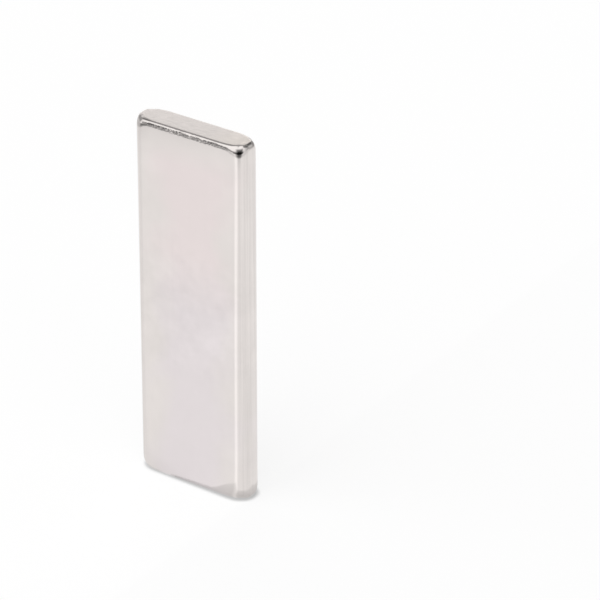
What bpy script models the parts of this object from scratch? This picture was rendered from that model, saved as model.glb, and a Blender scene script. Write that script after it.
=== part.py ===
"""A block magnet: one plated bar with rounded edges, standing on its narrow end.

The origin is the centre of the end that it stands on. Z runs up the length,
X across the width, and Y through the thickness, which is the way it pulls.
"""

import math

import bmesh
import bpy

# The block, in metres
LENGTH = 0.060
WIDTH = 0.020
THICKNESS = 0.005

# The four long edges are tumbled to a wide round, the two cut ends to a narrow one
LONG_EDGE_RADIUS = 0.0020
END_EDGE_RADIUS = 0.0006
LONG_EDGE_FACETS = 12
END_EDGE_FACETS = 6

# A rim edge turns a right angle and a facet of a long edge only a few degrees
RIM_ANGLE = math.radians(60)

# Bright nickel plate
NICKEL_COLOUR = (0.76, 0.74, 0.71, 1.0)
NICKEL_ROUGHNESS = 0.18


def clear_scene():
    for obj in list(bpy.data.objects):
        bpy.data.objects.remove(obj, do_unlink=True)


def new_collection(name):
    collection = bpy.data.collections.new(name)
    bpy.context.scene.collection.children.link(collection)
    return collection


def nickel_plate():
    material = bpy.data.materials.new("nickel_plate")
    material.use_nodes = True
    surface = material.node_tree.nodes["Principled BSDF"]
    surface.inputs["Base Color"].default_value = NICKEL_COLOUR
    surface.inputs["Metallic"].default_value = 1.0
    surface.inputs["Roughness"].default_value = NICKEL_ROUGHNESS
    material.diffuse_color = NICKEL_COLOUR
    return material


def sharp_block(name):
    """The block before its edges are rounded, with the long edges marked for their bevel."""
    shape = bmesh.new()
    bmesh.ops.create_cube(shape, size=1.0)
    bmesh.ops.scale(shape, vec=(WIDTH, THICKNESS, LENGTH), verts=shape.verts)
    bmesh.ops.translate(shape, vec=(0, 0, LENGTH / 2), verts=shape.verts)
    weight = shape.edges.layers.float.new("bevel_weight_edge")
    for edge in shape.edges:
        first, second = edge.verts
        edge[weight] = 1.0 if first.co.z != second.co.z else 0.0
    mesh = bpy.data.meshes.new(name)
    shape.to_mesh(mesh)
    shape.free()
    return mesh


def round_edges(obj, name, radius, facets, limit):
    bevel = obj.modifiers.new(name, "BEVEL")
    bevel.width = radius
    bevel.segments = facets
    bevel.limit_method = limit
    bevel.angle_limit = RIM_ANGLE
    return bevel


def block_magnet(collection):
    mesh = sharp_block("block_magnet")
    mesh.materials.append(nickel_plate())
    mesh.shade_smooth()
    magnet = bpy.data.objects.new("block_magnet", mesh)
    collection.objects.link(magnet)
    round_edges(magnet, "Long edges", LONG_EDGE_RADIUS, LONG_EDGE_FACETS, "WEIGHT")
    round_edges(magnet, "End rims", END_EDGE_RADIUS, END_EDGE_FACETS, "ANGLE")
    magnet.modifiers.new("Flat faces", "WEIGHTED_NORMAL")
    return magnet


def main():
    clear_scene()
    block_magnet(new_collection("block_magnet"))


main()
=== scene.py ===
import math

import bpy
from mathutils import Matrix, Vector


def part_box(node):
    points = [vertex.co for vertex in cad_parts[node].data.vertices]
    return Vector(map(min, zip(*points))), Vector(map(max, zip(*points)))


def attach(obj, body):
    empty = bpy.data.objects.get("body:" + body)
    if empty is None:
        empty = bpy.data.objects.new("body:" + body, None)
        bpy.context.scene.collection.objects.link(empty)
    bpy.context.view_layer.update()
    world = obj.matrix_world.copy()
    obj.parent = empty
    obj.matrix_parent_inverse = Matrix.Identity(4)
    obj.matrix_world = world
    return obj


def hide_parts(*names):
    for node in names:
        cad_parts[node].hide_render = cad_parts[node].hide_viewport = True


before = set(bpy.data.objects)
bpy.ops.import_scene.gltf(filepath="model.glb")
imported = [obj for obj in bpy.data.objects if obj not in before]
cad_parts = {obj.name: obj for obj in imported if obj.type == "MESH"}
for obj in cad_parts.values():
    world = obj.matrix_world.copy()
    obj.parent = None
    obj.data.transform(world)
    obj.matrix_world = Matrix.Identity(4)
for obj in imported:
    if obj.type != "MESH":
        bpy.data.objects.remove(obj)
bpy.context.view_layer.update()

# The camera stands at the photograph's own angle, turned to the right edge of the block
# and well above it. The long lens keeps the block's edges nearly parallel.
CAMERA_AZIMUTH = math.radians(34.686)
CAMERA_ELEVATION = math.radians(28.613)
CAMERA_DISTANCE = 0.63075
AIM_HEIGHT = 0.030
AIM_TO_THE_RIGHT = 0.015303
AIM_UPWARD = 0.000920
SENSOR_MM = 36
LENS_MM = 252

towards_camera = Vector((
    math.sin(CAMERA_AZIMUTH) * math.cos(CAMERA_ELEVATION),
    -math.cos(CAMERA_AZIMUTH) * math.cos(CAMERA_ELEVATION),
    math.sin(CAMERA_ELEVATION),
))
camera_right = Vector((math.cos(CAMERA_AZIMUTH), math.sin(CAMERA_AZIMUTH), 0))
camera_up = towards_camera.cross(camera_right)
aim = Vector((0, 0, AIM_HEIGHT)) + AIM_TO_THE_RIGHT * camera_right + AIM_UPWARD * camera_up

camera_lens = bpy.data.cameras.new("camera")
camera_lens.sensor_width = SENSOR_MM
camera_lens.lens = LENS_MM
camera_lens.clip_start = 0.01
camera = bpy.data.objects.new("camera", camera_lens)
bpy.context.collection.objects.link(camera)
camera_turn = Matrix((camera_right, camera_up, towards_camera)).transposed().to_4x4()
camera.matrix_world = Matrix.Translation(aim + CAMERA_DISTANCE * towards_camera) @ camera_turn
bpy.context.scene.camera = camera


# The block magnet: one bar of sintered neodymium magnet, ground flat on its ends, tumbled
# until its long edges are well rounded, and then plated all over with bright nickel.
lowest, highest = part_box("block_magnet")
BLOCK_SIZE = [high - low for low, high in zip(lowest, highest)]
LONG_EDGE_RADIUS = 0.0020

# The rim of an end is a quarter ellipse: its depth goes into the end and its height up the side.
# It is larger at the corners, where the run past the start of the long edge is at its peak.
RIM_DEPTH = 0.00057
RIM_HEIGHT = 0.00090
CORNER_DEPTH = 0.00110
CORNER_HEIGHT = 0.00186
DEPTH_START = -0.0020
HEIGHT_START = -0.0010
CORNER_PEAK = 0.0014
CORNER_END = 0.0032
NARROW_SHARE = 0.1
CROWN_DROP = 0.00002
CROWN_REACH = 0.0022
SATIN_START = math.radians(76)
SATIN_END = math.radians(88)

# Squares of the mesh in each part of a quarter way round, and of half the way up
WIDE_FACE_STEPS = 100
LONG_EDGE_STEPS = 20
NARROW_FACE_STEPS = 4
END_STEPS = 6
RIM_STEPS = 20
SIDE_STEPS = 30


def add_node(tree, kind, inputs=(), **settings):
    """Adds a node with its settings. An input takes a value, a socket, or a node's first output."""
    node = tree.nodes.new(kind)
    for name, setting in settings.items():
        setattr(node, name, setting)
    pairs = inputs.items() if isinstance(inputs, dict) else enumerate(inputs)
    for key, given in pairs:
        if isinstance(given, bpy.types.Node):
            given = next(output for output in given.outputs if output.enabled)
        if isinstance(given, bpy.types.NodeSocket):
            tree.links.new(given, node.inputs[key])
        else:
            node.inputs[key].default_value = given
    return node


block_tree = bpy.data.node_groups.new("Rounded block", "GeometryNodeTree")
block_tree.interface.new_socket("Geometry", in_out="OUTPUT", socket_type="NodeSocketGeometry")
block_inputs = {
    name: block_tree.interface.new_socket(name, in_out="INPUT", socket_type="NodeSocket" + kind)
    for name, kind in {
        "Width": "Float",
        "Thickness": "Float",
        "Length": "Float",
        "Long edge radius": "Float",
        "Rim depth": "Float",
        "Rim height": "Float",
        "Corner depth": "Float",
        "Corner height": "Float",
        "Crown drop": "Float",
        "Crown reach": "Float",
        "Plate": "Material",
    }.items()
}
given = add_node(block_tree, "NodeGroupInput").outputs

# A sheet of squares is bent round the block. Its X runs once round the sides and its Y from
# the middle of the foot over the rim, up the side and over the other rim.
round_steps = WIDE_FACE_STEPS + LONG_EDGE_STEPS + NARROW_FACE_STEPS
up_steps = END_STEPS + RIM_STEPS + SIDE_STEPS
sheet = add_node(block_tree, "GeometryNodeMeshGrid", (1.0, 1.0, 4 * round_steps + 1, 2 * up_steps + 1))
place = add_node(block_tree, "ShaderNodeSeparateXYZ", (add_node(block_tree, "GeometryNodeInputPosition"),))
right_side = add_node(block_tree, "ShaderNodeMath", (place.outputs["X"], -1.0), operation="MULTIPLY")
sign_x = add_node(block_tree, "ShaderNodeMath", (right_side,), operation="SIGN")
off_middle = add_node(block_tree, "ShaderNodeMath", (place.outputs["X"],), operation="ABSOLUTE")
back_half = add_node(block_tree, "ShaderNodeMath", (0.25, off_middle), operation="SUBTRACT")
sign_y = add_node(block_tree, "ShaderNodeMath", (back_half,), operation="SIGN")
sign_z = add_node(block_tree, "ShaderNodeMath", (place.outputs["Y"],), operation="SIGN")

# Once round is four quarters, each from the middle of a wide face to the middle of a narrow one
round_share = add_node(
    block_tree, "ShaderNodeMath", (place.outputs["X"], 4.0, 2.0), operation="MULTIPLY_ADD"
)
quarter = add_node(block_tree, "ShaderNodeMath", (round_share, 1.0), operation="PINGPONG")
round_step = add_node(block_tree, "ShaderNodeMath", (quarter, float(round_steps)), operation="MULTIPLY")
half_width = add_node(block_tree, "ShaderNodeMath", (given["Width"], 0.5), operation="MULTIPLY")
wide_flat = add_node(
    block_tree, "ShaderNodeMath", (half_width, given["Long edge radius"]), operation="SUBTRACT"
)
half_thickness = add_node(block_tree, "ShaderNodeMath", (given["Thickness"], 0.5), operation="MULTIPLY")
narrow_flat = add_node(
    block_tree, "ShaderNodeMath", (half_thickness, given["Long edge radius"]), operation="SUBTRACT"
)
edge_start, edge_end = float(WIDE_FACE_STEPS), float(WIDE_FACE_STEPS + LONG_EDGE_STEPS)
along = add_node(block_tree, "ShaderNodeMapRange", (round_step, 0.0, edge_start, 0.0, wide_flat))
turn = add_node(block_tree, "ShaderNodeMapRange", (round_step, edge_start, edge_end, 0.0, math.pi / 2))
through = add_node(
    block_tree, "ShaderNodeMapRange", (round_step, edge_end, float(round_steps), narrow_flat, 0.0)
)

# Going up is the same twice: out over the flat end, round its rim, and up half of the side
up_share = add_node(block_tree, "ShaderNodeMath", (place.outputs["Y"], 2.0, 1.0), operation="MULTIPLY_ADD")
half_up = add_node(block_tree, "ShaderNodeMath", (up_share, 1.0), operation="PINGPONG")
up_step = add_node(block_tree, "ShaderNodeMath", (half_up, float(up_steps)), operation="MULTIPLY")
rim_start, rim_end = float(END_STEPS), float(END_STEPS + RIM_STEPS)
end_out = add_node(block_tree, "ShaderNodeMapRange", (up_step, 0.0, rim_start, 0.0, 1.0))
roll = add_node(block_tree, "ShaderNodeMapRange", (up_step, rim_start, rim_end, math.pi / 2, 0.0))
climb = add_node(block_tree, "ShaderNodeMapRange", (up_step, rim_end, float(up_steps), 0.0, 1.0))

# The rim is narrow along the faces and widens softly into the tumbled corners, from a little
# before each long edge, through its middle, to the narrow face. The run is counted from its start.
from_edge = add_node(block_tree, "ShaderNodeMath", (wide_flat, along), operation="SUBTRACT")
past_edge = add_node(block_tree, "ShaderNodeMath", (narrow_flat, through), operation="SUBTRACT")
edge_run = add_node(
    block_tree, "ShaderNodeMath", (turn, given["Long edge radius"], past_edge), operation="MULTIPLY_ADD"
)
edge_run = add_node(block_tree, "ShaderNodeMath", (edge_run, from_edge), operation="SUBTRACT")
corner_out = add_node(
    block_tree,
    "ShaderNodeMapRange",
    (edge_run, CORNER_PEAK, CORNER_END, 1.0, NARROW_SHARE),
    interpolation_type="SMOOTHSTEP",
)
rim_sizes = []
for start, along_face, at_corner in (
    (DEPTH_START, "Rim depth", "Corner depth"),
    (HEIGHT_START, "Rim height", "Corner height"),
):
    corner_in = add_node(
        block_tree,
        "ShaderNodeMapRange",
        (edge_run, start, CORNER_PEAK, 0.0, 1.0),
        interpolation_type="SMOOTHSTEP",
    )
    corner = add_node(block_tree, "ShaderNodeMath", (corner_in, corner_out), operation="MULTIPLY")
    rim_sizes.append(add_node(
        block_tree, "ShaderNodeMapRange", (corner, 0.0, 1.0, given[along_face], given[at_corner])
    ))
rim_depth, rim_height = rim_sizes

# Each wide face falls away a little before its edges, as tumbling leaves it
side_half = add_node(block_tree, "ShaderNodeMath", (given["Length"], 0.5), operation="MULTIPLY")
side_rise = add_node(block_tree, "ShaderNodeMath", (side_half, rim_height), operation="SUBTRACT")
risen = add_node(block_tree, "ShaderNodeMath", (climb, side_rise), operation="MULTIPLY")
sin_turn = add_node(block_tree, "ShaderNodeMath", (turn,), operation="SINE")
cos_turn = add_node(block_tree, "ShaderNodeMath", (turn,), operation="COSINE")
drop = 0.0
for distance in (risen, from_edge):
    near = add_node(block_tree, "ShaderNodeMapRange", (distance, 0.0, given["Crown reach"], 1.0, 0.0))
    fall = add_node(block_tree, "ShaderNodeMath", (near, 2.0), operation="POWER")
    drop = add_node(
        block_tree, "ShaderNodeMath", (fall, given["Crown drop"], drop), operation="MULTIPLY_ADD"
    )
wide_drop = add_node(block_tree, "ShaderNodeMath", (drop, cos_turn), operation="MULTIPLY")

# How far each point of the sheet lies out over the long edge and down from the end
rim_lap = add_node(block_tree, "ShaderNodeMath", (roll,), operation="SINE")
rim_face = add_node(block_tree, "ShaderNodeMath", (roll,), operation="COSINE")
rounded_out = add_node(block_tree, "ShaderNodeMath", (rim_depth, rim_face), operation="MULTIPLY")
rest_out = add_node(
    block_tree, "ShaderNodeMath", (given["Long edge radius"], rim_depth), operation="SUBTRACT"
)
full_out = add_node(block_tree, "ShaderNodeMath", (end_out, rest_out, rounded_out), operation="MULTIPLY_ADD")
dropped_out = add_node(block_tree, "ShaderNodeMath", (wide_drop, rim_face), operation="MULTIPLY")
out = add_node(block_tree, "ShaderNodeMath", (full_out, dropped_out), operation="SUBTRACT")
rim_shrink = add_node(block_tree, "ShaderNodeMath", (rim_lap, -1.0, 1.0), operation="MULTIPLY_ADD")
height = add_node(block_tree, "ShaderNodeMath", (rim_height, rim_shrink, risen), operation="MULTIPLY_ADD")

x_size = add_node(block_tree, "ShaderNodeMath", (out, sin_turn, along), operation="MULTIPLY_ADD")
inner_y = add_node(block_tree, "ShaderNodeMath", (through, end_out), operation="MULTIPLY")
y_size = add_node(block_tree, "ShaderNodeMath", (out, cos_turn, inner_y), operation="MULTIPLY_ADD")
z_size = add_node(block_tree, "ShaderNodeMath", (side_half, height), operation="SUBTRACT")
x = add_node(block_tree, "ShaderNodeMath", (x_size, sign_x), operation="MULTIPLY")
y = add_node(block_tree, "ShaderNodeMath", (y_size, sign_y), operation="MULTIPLY")
z = add_node(block_tree, "ShaderNodeMath", (z_size, sign_z, side_half), operation="MULTIPLY_ADD")
bent_place = add_node(block_tree, "ShaderNodeCombineXYZ", (x, y, z))

# Two marks for the plate: the ground end, and the lower half of the rims away from their corners
satin = add_node(block_tree, "ShaderNodeMapRange", (roll, SATIN_START, SATIN_END, 0.0, 1.0))
on_rim = add_node(block_tree, "ShaderNodeMath", (rim_face, rim_lap), operation="MULTIPLY")
low_on_rim = add_node(block_tree, "ShaderNodeMath", (rim_face, 3.0), operation="POWER")
rim_share = add_node(block_tree, "ShaderNodeMath", (on_rim, low_on_rim), operation="MULTIPLY")
off_corner = add_node(block_tree, "ShaderNodeMath", (corner_in, -3.0, 3.0), operation="MULTIPLY_ADD")
rim_share = add_node(block_tree, "ShaderNodeMath", (rim_share, off_corner), operation="MULTIPLY")
marked = add_node(
    block_tree,
    "GeometryNodeStoreNamedAttribute",
    {"Geometry": sheet.outputs["Mesh"], "Name": "ground_end", "Value": satin},
    data_type="FLOAT",
    domain="POINT",
)
marked = add_node(
    block_tree,
    "GeometryNodeStoreNamedAttribute",
    {"Geometry": marked, "Name": "rim", "Value": rim_share},
    data_type="FLOAT",
    domain="POINT",
)
bent = add_node(block_tree, "GeometryNodeSetPosition", {"Geometry": marked, "Position": bent_place})
closed = add_node(block_tree, "GeometryNodeMergeByDistance", {"Geometry": bent, "Distance": 1e-7})
smooth = add_node(block_tree, "GeometryNodeSetShadeSmooth", {"Geometry": closed})
real = add_node(block_tree, "GeometryNodeRealizeInstances", {"Geometry": smooth})
plated = add_node(block_tree, "GeometryNodeSetMaterial", {"Geometry": real, "Material": given["Plate"]})
add_node(block_tree, "NodeGroupOutput", {"Geometry": plated})


def linear(colour):
    """An sRGB hex colour as linear RGBA."""
    shares = [int(colour[i:i + 2], 16) / 255 for i in (1, 3, 5)]
    return [s / 12.92 if s <= 0.04045 else ((s + 0.055) / 1.055) ** 2.4 for s in shares] + [1.0]


# Bright nickel plate over a ground and tumbled block: mirror-like on the faces, satin on the ends
nickel = bpy.data.materials.new("bright_nickel_plate")
nickel.use_nodes = True
nickel_tree = nickel.node_tree
nickel_tree.nodes.clear()
object_place = add_node(nickel_tree, "ShaderNodeTexCoord").outputs["Object"]
millimetres = add_node(
    nickel_tree, "ShaderNodeMapping", {"Vector": object_place, "Scale": (1000, 1000, 1000)}
)
place_mm = add_node(nickel_tree, "ShaderNodeSeparateXYZ", (millimetres,))
ground_end = add_node(nickel_tree, "ShaderNodeAttribute", attribute_name="ground_end").outputs["Fac"]
rim = add_node(nickel_tree, "ShaderNodeAttribute", attribute_name="rim").outputs["Fac"]

# Faint tints, a few centimetres across: rosy above, cooler below, neutral towards the long edges
cloud = add_node(nickel_tree, "ShaderNodeTexNoise", {"Vector": millimetres, "Scale": 0.13, "Detail": 1.5})
upper = add_node(nickel_tree, "ShaderNodeMapRange", (place_mm.outputs["Z"], 30.0, 40.0, 0.0, 1.0))
middle_tint = add_node(
    nickel_tree,
    "ShaderNodeMix",
    {"Factor": upper, "A": linear("#DFD8D9"), "B": linear("#E3D9D8")},
    data_type="RGBA",
)
from_middle = add_node(nickel_tree, "ShaderNodeMath", (place_mm.outputs["X"], 0.8), operation="SUBTRACT")
from_middle = add_node(nickel_tree, "ShaderNodeMath", (from_middle,), operation="ABSOLUTE")
cloud_shift = add_node(
    nickel_tree, "ShaderNodeMath", (cloud.outputs["Fac"], 12.0, -6.0), operation="MULTIPLY_ADD"
)
from_middle = add_node(nickel_tree, "ShaderNodeMath", (from_middle, cloud_shift), operation="ADD")
tint_share = add_node(nickel_tree, "ShaderNodeMapRange", (from_middle, 3.5, 8.5, 1.0, 0.0))
below_rim = add_node(nickel_tree, "ShaderNodeMapRange", (place_mm.outputs["Z"], 54.0, 58.0, 1.0, 0.0))
tint_share = add_node(nickel_tree, "ShaderNodeMath", (tint_share, below_rim), operation="MULTIPLY")
plate_colour = add_node(
    nickel_tree,
    "ShaderNodeMix",
    {"Factor": tint_share, "A": linear("#E0DAD7"), "B": middle_tint},
    data_type="RGBA",
)

# The ends are a little warmer to the right
to_the_right = add_node(nickel_tree, "ShaderNodeMapRange", (place_mm.outputs["X"], 3.0, 9.0, 0.0, 1.0))
ground_colour = add_node(
    nickel_tree,
    "ShaderNodeMix",
    {"Factor": to_the_right, "A": linear("#E2DBD7"), "B": linear("#E4DCD5")},
    data_type="RGBA",
)
plate_colour = add_node(
    nickel_tree,
    "ShaderNodeMix",
    {"Factor": ground_end, "A": plate_colour, "B": ground_colour},
    data_type="RGBA",
)

# The rounded long edges keep fine drawn lines, about 0.4 mm apart
drawn_place = add_node(nickel_tree, "ShaderNodeMapping", {"Vector": object_place, "Scale": (2600, 2600, 30)})
drawn = add_node(nickel_tree, "ShaderNodeTexNoise", {"Vector": drawn_place, "Scale": 1.0, "Detail": 2.0})
off_middle = add_node(nickel_tree, "ShaderNodeMath", (place_mm.outputs["X"],), operation="ABSOLUTE")
edge_share = add_node(nickel_tree, "ShaderNodeMapRange", (off_middle, 8.3, 9.4, 0.05, 1.0))

# The ends are ground flat: grooves run across them at a slant. Real ones are a few hundredths of a
# millimetre apart and are drawn about 0.3 mm apart, so that they show.
ground_place = add_node(
    nickel_tree,
    "ShaderNodeMapping",
    {"Vector": object_place, "Rotation": (0, 0, math.radians(20)), "Scale": (0.0012, 0.00024, 0.001)},
    vector_type="TEXTURE",
)
ground = add_node(nickel_tree, "ShaderNodeTexNoise", {"Vector": ground_place, "Scale": 1.0, "Detail": 2.5})

# Tumbling leaves the rims pitted, most of all half-way along the front ones
pits = add_node(nickel_tree, "ShaderNodeTexNoise", {"Vector": millimetres, "Scale": 2.8, "Detail": 1.0})
pitted = add_node(nickel_tree, "ShaderNodeMapRange", (off_middle, 3.0, 7.0, 1.0, 0.35))
pitted = add_node(nickel_tree, "ShaderNodeMath", (pitted, rim), operation="MULTIPLY")
behind = add_node(nickel_tree, "ShaderNodeMapRange", (place_mm.outputs["Y"], -1.0, 1.0, 1.0, 0.5))
pitted = add_node(nickel_tree, "ShaderNodeMath", (pitted, behind), operation="MULTIPLY")

# Handling leaves a faint mottled haze, most of it half-way up and some towards the long edges.
# The end is also mottled lighter and darker at its right tip.
haze = add_node(
    nickel_tree,
    "ShaderNodeTexNoise",
    {"Vector": millimetres, "Scale": 0.22, "Detail": 4.0, "Roughness": 0.6},
)
smudge_place = add_node(
    nickel_tree,
    "ShaderNodeMapping",
    {"Vector": millimetres, "Location": (3.5, 0, -20.0), "Scale": (1, 0, 0.7)},
)
smudge = add_node(nickel_tree, "ShaderNodeVectorMath", (smudge_place,), operation="LENGTH").outputs["Value"]
smudge = add_node(nickel_tree, "ShaderNodeMapRange", (smudge, 2.0, 8.0, -0.11, 0.04))
haze = add_node(nickel_tree, "ShaderNodeMath", (haze.outputs["Fac"], smudge), operation="ADD")
off_half = add_node(nickel_tree, "ShaderNodeMath", (place_mm.outputs["Z"], 30.0), operation="SUBTRACT")
off_half = add_node(nickel_tree, "ShaderNodeMath", (off_half,), operation="ABSOLUTE")
haze_share = add_node(nickel_tree, "ShaderNodeMapRange", (off_half, 6.0, 14.0, 1.0, 0.25))
side_haze = add_node(nickel_tree, "ShaderNodeMapRange", (off_middle, 3.5, 7.0, 0.25, 0.55))
haze_share = add_node(nickel_tree, "ShaderNodeMath", (haze_share, side_haze), operation="MAXIMUM")
specks = add_node(nickel_tree, "ShaderNodeTexNoise", {"Vector": millimetres, "Scale": 2.0, "Detail": 3.0})
tip_share = add_node(nickel_tree, "ShaderNodeMapRange", (place_mm.outputs["X"], 7.6, 9.2, 0.0, 1.0))
tip_share = add_node(nickel_tree, "ShaderNodeMath", (tip_share, ground_end), operation="MULTIPLY")

# Brightness of the plate, as a share. Each pattern is taken off its mean first, so that its mask
# doesn't change the plate as a whole.
shade = 1.0
for pattern, mask, depth in (
    (drawn, edge_share, 0.30),
    (ground, ground_end, 0.34),
    (haze, haze_share, 0.20),
    (specks, tip_share, 0.8),
):
    off_mean = add_node(nickel_tree, "ShaderNodeMath", (pattern, 0.5), operation="SUBTRACT")
    masked = add_node(nickel_tree, "ShaderNodeMath", (off_mean, mask), operation="MULTIPLY")
    shade = add_node(nickel_tree, "ShaderNodeMath", (masked, depth, shade), operation="MULTIPLY_ADD")
plate_colour = add_node(
    nickel_tree,
    "ShaderNodeVectorMath",
    {0: plate_colour, 3: shade},
    operation="SCALE",
)

# Relief in thousandths of a millimetre
relief = 0.0
for pattern, mask, depth in ((drawn, edge_share, 3.0), (ground, ground_end, 7.0), (pits, pitted, 130.0)):
    off_mean = add_node(nickel_tree, "ShaderNodeMath", (pattern, 0.5), operation="SUBTRACT")
    masked = add_node(nickel_tree, "ShaderNodeMath", (off_mean, mask), operation="MULTIPLY")
    relief = add_node(nickel_tree, "ShaderNodeMath", (masked, depth, relief), operation="MULTIPLY_ADD")
plate_relief = add_node(nickel_tree, "ShaderNodeBump", {"Height": relief, "Strength": 1.0, "Distance": 1e-6})

# The ground ends are rougher, and the haze dulls the plate a little
FACE_ROUGHNESS = 0.10
END_ROUGHNESS = 0.26
roughness = add_node(
    nickel_tree, "ShaderNodeMapRange", (ground_end, 0.0, 1.0, FACE_ROUGHNESS, END_ROUGHNESS)
)
off_mean = add_node(nickel_tree, "ShaderNodeMath", (0.5, haze), operation="SUBTRACT")
dulled = add_node(nickel_tree, "ShaderNodeMath", (off_mean, haze_share), operation="MULTIPLY")
roughness = add_node(nickel_tree, "ShaderNodeMath", (dulled, 0.15, roughness), operation="MULTIPLY_ADD")
plate = add_node(
    nickel_tree,
    "ShaderNodeBsdfPrincipled",
    {"Base Color": plate_colour, "Metallic": 1.0, "Roughness": roughness, "Normal": plate_relief},
)
add_node(nickel_tree, "ShaderNodeOutputMaterial", {"Surface": plate})

block_mesh = bpy.data.meshes.new("plated_block")
block = bpy.data.objects.new("plated_block", block_mesh)
bpy.context.collection.objects.link(block)
bend = block.modifiers.new("Rounded block", "NODES")
bend.node_group = block_tree
for name, value in {
    "Width": BLOCK_SIZE[0],
    "Thickness": BLOCK_SIZE[1],
    "Length": BLOCK_SIZE[2],
    "Long edge radius": LONG_EDGE_RADIUS,
    "Rim depth": RIM_DEPTH,
    "Rim height": RIM_HEIGHT,
    "Corner depth": CORNER_DEPTH,
    "Corner height": CORNER_HEIGHT,
    "Crown drop": CROWN_DROP,
    "Crown reach": CROWN_REACH,
    "Plate": nickel,
}.items():
    bend[block_inputs[name].identifier] = value
bpy.context.view_layer.update()
built = block.evaluated_get(bpy.context.evaluated_depsgraph_get())
block.data = bpy.data.meshes.new_from_object(built)
block.modifiers.clear()
block.data.name = "plated_block"
bpy.data.meshes.remove(block_mesh)
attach(block, "root")
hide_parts("block_magnet")


# The floor: a matt white table that runs out of view. It keeps the block's faint shadow.
floor_mesh = bpy.data.meshes.new("floor")
FLOOR_HALF = 3.0
floor_mesh.from_pydata(
    [(-FLOOR_HALF, -FLOOR_HALF, 0), (FLOOR_HALF, -FLOOR_HALF, 0), (FLOOR_HALF, FLOOR_HALF, 0),
     (-FLOOR_HALF, FLOOR_HALF, 0)],
    [],
    [(0, 1, 2, 3)],
)
floor = bpy.data.objects.new("floor", floor_mesh)
bpy.context.collection.objects.link(floor)
table = bpy.data.materials.new("matt_white_table")
table.use_nodes = True
table_tree = table.node_tree
table_tree.nodes.clear()


def grey_ramp(tree, share, stops, low, high):
    """A grey ramp over share, where each stop is (measure, grey) and the measures run from low to high."""
    node = add_node(tree, "ShaderNodeValToRGB", {"Fac": share})
    for _ in stops[2:]:
        node.color_ramp.elements.new(0.5)
    for element, (measure, grey) in zip(node.color_ramp.elements, stops):
        element.position = (measure - low) / (high - low)
        element.color = (grey, grey, grey, 1)
    return node.outputs["Color"]


table_place = add_node(table_tree, "ShaderNodeTexCoord").outputs["Object"]
around_edge = add_node(
    table_tree, "ShaderNodeVectorMath", (table_place, (0.008, -0.0005, 0)), operation="SUBTRACT"
)
table_axes = add_node(table_tree, "ShaderNodeSeparateXYZ", (around_edge,))
table_front = add_node(table_tree, "ShaderNodeMath", (table_axes.outputs["Y"], -1.0), operation="MULTIPLY")
table_heading = add_node(
    table_tree, "ShaderNodeMath", (table_axes.outputs["X"], table_front), operation="ARCTAN2"
)
table_heading = add_node(table_tree, "ShaderNodeMapRange", (table_heading, -math.pi, math.pi, 0.0, 1.0))
table_reach = add_node(table_tree, "ShaderNodeVectorMath", (around_edge,), operation="LENGTH")
table_reach = table_reach.outputs["Value"]

# A painted highlight runs forward from the edge, in the table's glow that the plate mirrors:
# a bright streak. It bends to the right with the square of the distance, in turns for each
# metre squared, until it straightens.
STREAK_BEND = 1600 / 360
STREAK_STRAIGHTENS = 0.11
near_reach = add_node(table_tree, "ShaderNodeMath", (table_reach, STREAK_STRAIGHTENS), operation="MINIMUM")
bend_share = add_node(table_tree, "ShaderNodeMath", (near_reach, 2.0), operation="POWER")
streak_heading = add_node(
    table_tree, "ShaderNodeMath", (bend_share, -STREAK_BEND, table_heading), operation="MULTIPLY_ADD"
)
heading_light = grey_ramp(
    table_tree,
    streak_heading,
    [(-180, 0.90), (-120, 0.92), (-97, 0.86), (-86, 0.86), (-68, 0.95), (-50, 0.965), (-21, 0.96),
     (-5, 1.19), (1, 1.19), (17, 0.93), (60, 0.925), (140, 0.92), (180, 0.90)],
    -180, 180,
)

# Far away the table's glow is dimmed by painted shade, most of all to the left, under the camera
# and behind the block. Each pair gives the light by metres from the edge, and how much it counts
# by degrees of heading.
dim_far = [
    ([(0.0, 1.0), (0.12, 1.0), (0.14, 0.92), (0.16, 0.6), (0.19, 0.3), (0.6, 0.26), (0.72, 0.6), (1.0, 0.6)],
     [(-180, 0), (-130, 0), (-105, 0.5), (-75, 0.5), (-60, 1), (-31, 1), (-22, 0.35), (12, 0.25), (24, 0.8),
      (52, 0.8), (62, 0.3), (180, 0.15)]),
    ([(0.0, 1.0), (0.25, 1.0), (0.45, 0.35), (1.0, 0.3)],
     [(-180, 0), (-70, 0), (-55, 1), (-39, 1), (-35, 0), (180, 0)]),
    ([(0.0, 1.0), (0.11, 1.0), (0.145, 0.6), (0.2, 0.45), (0.3, 0.2), (1.0, 0.06)],
     [(-180, 0), (20, 0), (35, 1), (47, 1), (58, 0), (180, 0)]),
    ([(0.0, 1.0), (0.2, 1.0), (0.28, 0.7), (0.36, 0.4), (1.0, 0.3)],
     [(-180, 1), (-163, 1), (-152, 0), (125, 0), (142, 1), (180, 1)]),
]
mirrored = heading_light
for reach_stops, heading_stops in dim_far:
    far_light = grey_ramp(table_tree, table_reach, reach_stops, 0, 1)
    far_share = grey_ramp(table_tree, table_heading, heading_stops, -180, 180)
    far_light = add_node(
        table_tree, "ShaderNodeMix", {"Factor": far_share, "A": 1.0, "B": far_light}, data_type="FLOAT"
    )
    mirrored = add_node(table_tree, "ShaderNodeMath", (mirrored, far_light), operation="MULTIPLY")
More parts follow.
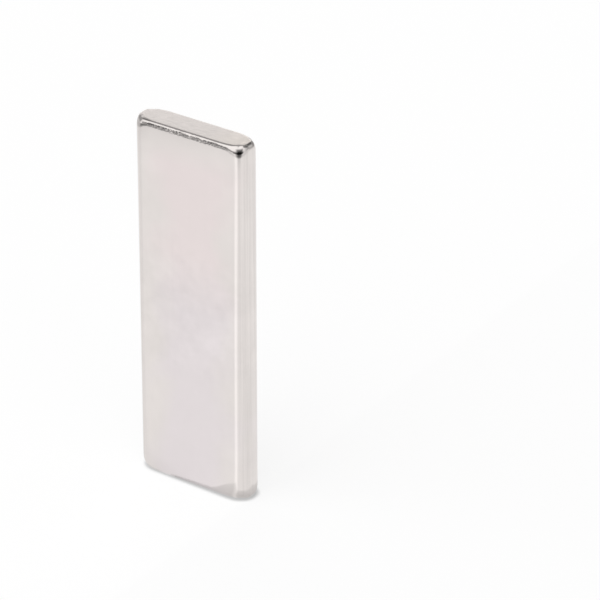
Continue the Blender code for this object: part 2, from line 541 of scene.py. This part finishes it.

# The table's glow carries a painted contact shadow round the block, which the block's foot
# mirrors. It is faint at the left and widens to the right. Its width in metres and its share are
# given by millimetres across the block.
beside = add_node(table_tree, "ShaderNodeVectorMath", (table_place,), operation="ABSOLUTE")
beside = add_node(
    table_tree,
    "ShaderNodeVectorMath",
    (beside, (BLOCK_SIZE[0] / 2 - LONG_EDGE_RADIUS, BLOCK_SIZE[1] / 2 - LONG_EDGE_RADIUS, 0)),
    operation="SUBTRACT",
)
beside = add_node(table_tree, "ShaderNodeVectorMath", (beside, (0, 0, 0)), operation="MAXIMUM")
off_block = add_node(table_tree, "ShaderNodeVectorMath", (beside,), operation="LENGTH").outputs["Value"]
off_block = add_node(table_tree, "ShaderNodeMath", (off_block, LONG_EDGE_RADIUS), operation="SUBTRACT")
plain_axes = add_node(table_tree, "ShaderNodeSeparateXYZ", (table_place,))
along_block = add_node(
    table_tree, "ShaderNodeMapRange", (plain_axes.outputs["X"], -0.010, 0.010, 0.0, 1.0)
)
shadow_reach = grey_ramp(
    table_tree,
    along_block,
    [(-10, 0.0001), (-4.2, 0.0002), (-2.4, 0.0006), (1.3, 0.001), (3.0, 0.0012), (3.7, 0.0019),
     (4.5, 0.0036), (5.5, 0.0043), (7, 0.0053), (8.0, 0.0055), (8.5, 0.0030), (10, 0.0030)],
    -10, 10,
)
off_share = add_node(table_tree, "ShaderNodeMath", (off_block, shadow_reach), operation="DIVIDE")
foot_light = grey_ramp(
    table_tree, off_share, [(0.0, 0.68), (0.3, 0.74), (0.6, 0.79), (0.84, 0.85), (1.0, 1.0)], 0, 1
)
foot_share = grey_ramp(
    table_tree,
    along_block,
    [(-10, 0.5), (-6.5, 0.4), (-5.4, 0.05), (-4.4, 0.05), (-3.2, 1), (10, 1)],
    -10, 10,
)
foot_light = add_node(
    table_tree, "ShaderNodeMix", {"Factor": foot_share, "A": 1.0, "B": foot_light}, data_type="FLOAT"
)
mirrored = add_node(table_tree, "ShaderNodeMath", (mirrored, foot_light), operation="MULTIPLY")

# For the camera the table is white, with a painted contact shadow close to the block, taken from
# its occlusion there and darkest at the right
rays = add_node(table_tree, "ShaderNodeLightPath").outputs
seen = add_node(
    table_tree, "ShaderNodeMath", (rays["Is Camera Ray"], rays["Is Transmission Ray"]), operation="MAXIMUM"
)
CONTACT_SHADOW = 0.0009
nearby = add_node(table_tree, "ShaderNodeAmbientOcclusion", {"Distance": CONTACT_SHADOW}, samples=8)
nearby = nearby.outputs["AO"]
darker = add_node(table_tree, "ShaderNodeMapRange", (plain_axes.outputs["X"], -0.008, 0.010, -0.08, 0.16))
nearby = add_node(table_tree, "ShaderNodeMath", (nearby, darker), operation="SUBTRACT")
contact = add_node(table_tree, "ShaderNodeMapRange", (nearby, 0.35, 0.85, 0.38, 0.80))
own_light = add_node(table_tree, "ShaderNodeMath", (seen, contact), operation="MULTIPLY")
own_light = add_node(
    table_tree,
    "ShaderNodeMix",
    {"Factor": rays["Is Glossy Ray"], "A": own_light, "B": mirrored},
    data_type="FLOAT",
)
glow = add_node(table_tree, "ShaderNodeEmission", {"Color": linear("#FFFFFF"), "Strength": own_light})
shaded = add_node(
    table_tree,
    "ShaderNodeMix",
    {"Factor": rays["Is Glossy Ray"], "A": 0.32, "B": 0.10},
    data_type="FLOAT",
)
matt = add_node(table_tree, "ShaderNodeBsdfDiffuse", {"Color": shaded})
both = add_node(table_tree, "ShaderNodeAddShader", (glow, matt))
add_node(table_tree, "ShaderNodeOutputMaterial", {"Surface": both})
floor_mesh.materials.append(table)


# The studio: white all round for the camera. What the plate mirrors is painted by direction:
# the pale wall behind, the dim ceiling over it, the softbox in front and the dark room below that.
studio = bpy.data.worlds.new("studio")
bpy.context.scene.world = studio
studio.use_nodes = True
studio_tree = studio.node_tree
studio_tree.nodes.clear()
direction = add_node(
    studio_tree, "ShaderNodeSeparateXYZ", (add_node(studio_tree, "ShaderNodeTexCoord").outputs["Generated"],)
)
towards_front = add_node(studio_tree, "ShaderNodeMath", (direction.outputs["Y"], -1.0), operation="MULTIPLY")
heading = add_node(
    studio_tree, "ShaderNodeMath", (direction.outputs["X"], towards_front), operation="ARCTAN2"
)
heading = add_node(studio_tree, "ShaderNodeMapRange", (heading, -math.pi, math.pi, 0.0, 1.0))
rise = add_node(studio_tree, "ShaderNodeMath", (direction.outputs["Z"],), operation="ARCSINE")
rise = add_node(studio_tree, "ShaderNodeMath", (rise, math.degrees(1)), operation="MULTIPLY")
rise_share = add_node(studio_tree, "ShaderNodeMapRange", (rise, -90.0, 90.0, 0.0, 1.0))

# The dark room to the left of the softbox and, darker, behind the camera
room_heading = grey_ramp(
    studio_tree,
    heading,
    [(-180, 0), (-75, 0.1), (-62, 0.3), (-50, 0.8), (-44, 1), (-28, 1), (-14, 0), (180, 0)],
    -180, 180,
)
room_rise = grey_ramp(
    studio_tree, rise_share, [(-90, 0.4), (2, 0.4), (5, 0.88), (17, 0.88), (27, 0)], -90, 90
)
room = add_node(studio_tree, "ShaderNodeMath", (room_heading, room_rise), operation="MULTIPLY")
camera_heading = grey_ramp(
    studio_tree, heading, [(-180, 0), (20, 0), (36, 1), (48, 1), (60, 0), (180, 0)], -180, 180
)
camera_rise = grey_ramp(
    studio_tree,
    rise_share,
    [(-90, 0.99), (10, 0.99), (16, 0.955), (24, 0.89), (32, 0.77), (40, 0.5), (50, 0)],
    -90, 90,
)
camera_room = add_node(studio_tree, "ShaderNodeMath", (camera_heading, camera_rise), operation="MULTIPLY")

# Under the softbox the room is dark too, and there is a dark gap in the wall to the left
under_heading = grey_ramp(
    studio_tree,
    heading,
    [(-180, 0), (-32, 0), (-24, 0.65), (0, 0.75), (9, 0.85), (17, 0.92), (26, 1), (56, 1), (66, 0.2),
     (75, 0), (180, 0)],
    -180, 180,
)
under_rise = grey_ramp(
    studio_tree, rise_share, [(-90, 0.95), (8, 0.95), (12, 0.7), (17, 0.3), (22, 0)], -90, 90
)
under_room = add_node(studio_tree, "ShaderNodeMath", (under_heading, under_rise), operation="MULTIPLY")
gap_heading = grey_ramp(
    studio_tree, heading, [(-180, 0), (-112, 0), (-103, 0.55), (-82, 0.55), (-72, 0), (180, 0)], -180, 180
)
gap_rise = grey_ramp(studio_tree, rise_share, [(-90, 1), (50, 1), (56, 0)], -90, 90)
gap = add_node(studio_tree, "ShaderNodeMath", (gap_heading, gap_rise), operation="MULTIPLY")

# The pale wall reaches up to a line that drops to the right, where it is dimmer as well. The
# ceiling over it is dim, and the softbox fills the front. The line is given in hundreds of degrees.
CEILING_LIGHT = 0.37
LEFT_CEILING_LIGHT = 0.7
SOFTBOX_LIGHT = 1.2
wall_top = grey_ramp(
    studio_tree,
    heading,
    [(-180, 0.38), (-162, 0.36), (-152, 0.31), (-60, 0.31), (50, 0.55), (60, 0.48), (80, 0.39), (100, 0.3),
     (120, 0.25), (140, 0.24), (155, 0.35), (180, 0.38)],
    -180, 180,
)
wall_top = add_node(studio_tree, "ShaderNodeMath", (wall_top, 100.0), operation="MULTIPLY")
over_wall = add_node(studio_tree, "ShaderNodeMath", (rise, wall_top), operation="SUBTRACT")
wall_height = add_node(studio_tree, "ShaderNodeMapRange", (over_wall, -1.0, 1.5, 1.0, CEILING_LIGHT))
soft_heading = grey_ramp(
    studio_tree, heading, [(-180, 0), (-142, 0), (-118, 1), (-92, 1), (-76, 0), (180, 0)], -180, 180
)
soft_rise = grey_ramp(studio_tree, rise_share, [(-90, 1), (45, 1), (51, 0)], -90, 90)
soft_part = add_node(studio_tree, "ShaderNodeMath", (soft_heading, soft_rise), operation="MULTIPLY")
soft_part = add_node(studio_tree, "ShaderNodeMath", (soft_part, LEFT_CEILING_LIGHT), operation="MULTIPLY")
wall_height = add_node(studio_tree, "ShaderNodeMath", (wall_height, soft_part), operation="MAXIMUM")
wall_light = grey_ramp(
    studio_tree,
    heading,
    [(-180, 0.36), (-165, 0.36), (-153, 1.13), (-141, 1.09), (-112, 0.88), (-80, 0.95), (-60, 1.08),
     (50, 1.15), (62, 1.08), (72, 0.84), (88, 0.7), (100, 0.52), (120, 0.42), (140, 0.34),
     (165, 0.34), (180, 0.36)],
    -180, 180,
)
back_light = add_node(studio_tree, "ShaderNodeMath", (wall_light, wall_height), operation="MULTIPLY")
slant = add_node(studio_tree, "ShaderNodeMath", (direction.outputs["X"], towards_front), operation="ADD")
slant_part = add_node(studio_tree, "ShaderNodeMapRange", (slant, -0.18, -0.08, 0.0, 1.0))
left_heading = grey_ramp(
    studio_tree, heading, [(-180, 0), (-78, 0), (-64, 1), (0, 1), (20, 0), (180, 0)], -180, 180
)
left_rise = grey_ramp(studio_tree, rise_share, [(-90, 1), (40, 1), (50, 0)], -90, 90)
left_part = add_node(studio_tree, "ShaderNodeMath", (left_heading, left_rise), operation="MULTIPLY")
front_part = add_node(studio_tree, "ShaderNodeMath", (slant_part, left_part), operation="MAXIMUM")
front_heading = grey_ramp(
    studio_tree, heading, [(-180, 1), (45, 1), (60, 0), (130, 0), (150, 1), (180, 1)], -180, 180
)
front_part = add_node(studio_tree, "ShaderNodeMath", (front_part, front_heading), operation="MULTIPLY")
light = add_node(
    studio_tree,
    "ShaderNodeMix",
    {"Factor": front_part, "A": back_light, "B": SOFTBOX_LIGHT},
    data_type="FLOAT",
)
for dark in (room, camera_room, under_room, gap):
    left = add_node(studio_tree, "ShaderNodeMath", (1.0, dark), operation="SUBTRACT")
    light = add_node(studio_tree, "ShaderNodeMath", (light, left), operation="MULTIPLY")
world_rays = add_node(studio_tree, "ShaderNodeLightPath").outputs
light = add_node(
    studio_tree,
    "ShaderNodeMix",
    {"Factor": world_rays["Is Camera Ray"], "A": light, "B": 1.0},
    data_type="FLOAT",
)
sky = add_node(studio_tree, "ShaderNodeBackground", {"Color": (1, 1, 1, 1), "Strength": light})
add_node(studio_tree, "ShaderNodeOutputWorld", {"Surface": sky})

bpy.context.scene.view_settings.view_transform = "Standard"
